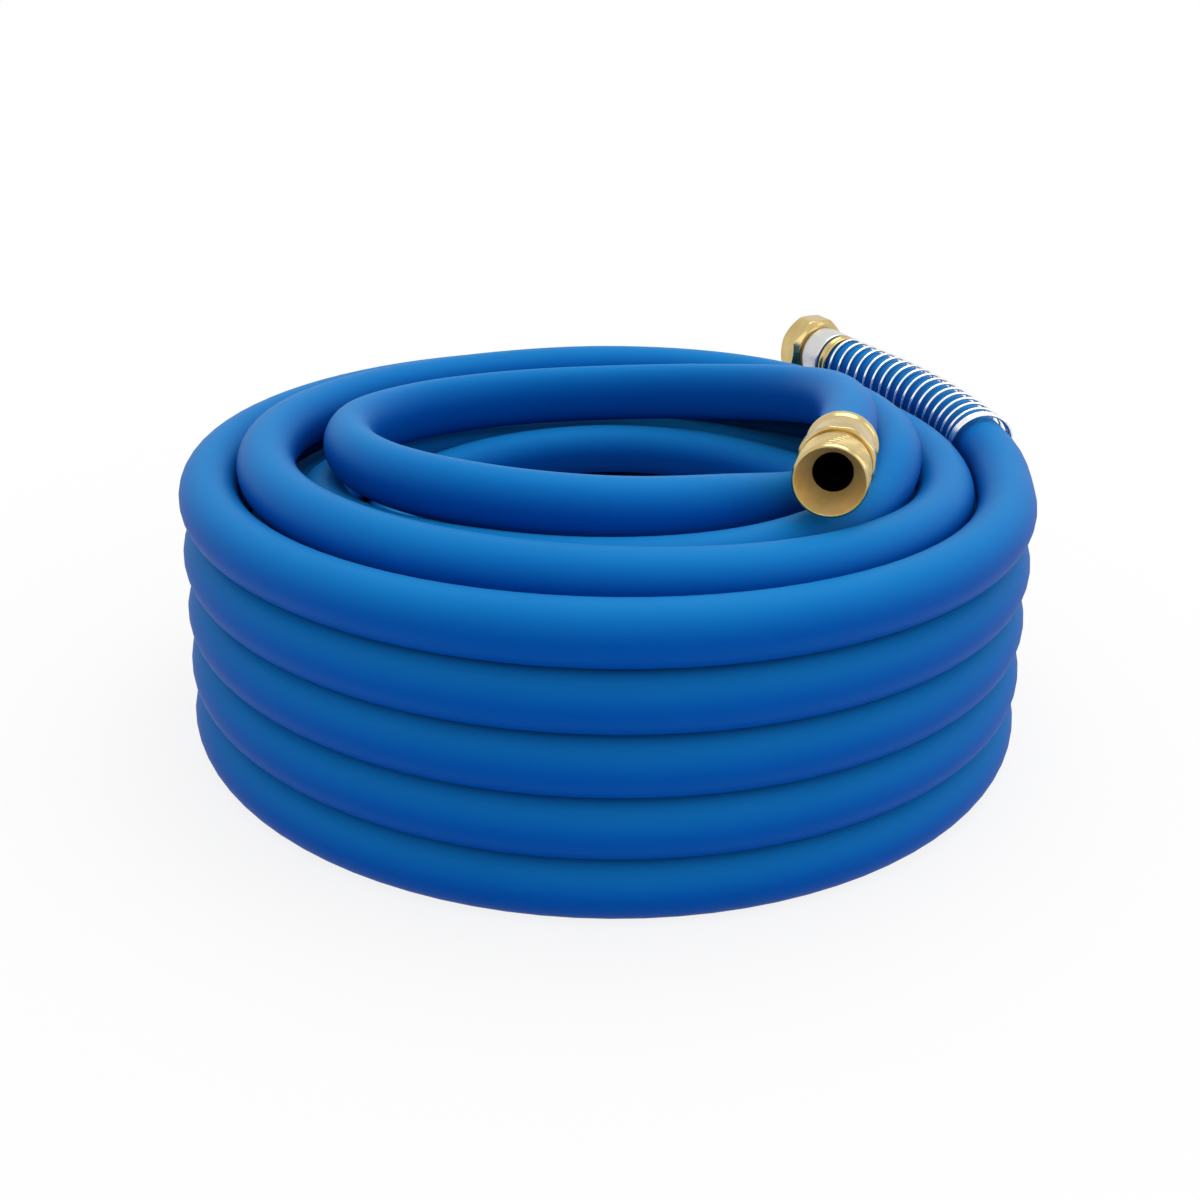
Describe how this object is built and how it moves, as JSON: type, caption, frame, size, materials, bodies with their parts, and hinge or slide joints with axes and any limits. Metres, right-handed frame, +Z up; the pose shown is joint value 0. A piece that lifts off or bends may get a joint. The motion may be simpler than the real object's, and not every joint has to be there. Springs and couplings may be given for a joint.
{
  "type": "coiled water hose",
  "caption": "Flexible hose wound in a flat-based coil, with a threaded male end, a swivel-nut female end and a spring bend guard.",
  "frame": {"origin": "middle of the part's box, on the floor that the coil lies on", "axes": "+Z up, the coil's axis; -Y towards the side the male end points to"},
  "size_m": [0.3518, 0.3454, 0.1476],
  "materials": {
    "hose_rubber": "satin",
    "brass": "machined, bright",
    "bright_steel": "zinc plated, bright",
    "spring_wire": "bright drawn wire",
    "washer_rubber": "matt"
  },
  "bodies": {
    "hose_body": {"hose": "hose_rubber", "spring_guard": "spring_wire", "male_fitting": "brass", "male_ferrule": "brass", "female_stem": "brass", "female_ferrule": "bright_steel", "ridged_ring": "brass"},
    "nut_body": {"swivel_nut": "brass", "washer": "washer_rubber"}
  },
  "joints": [
    {"name": "nut_spin", "type": "hinge", "parent": "hose_body", "child": "nut_body", "pos_m": [0.10034, 0.16391, 0.11655], "axis": [-0.5169, 0.8529, 0.0726], "continuous": true}
  ]
}
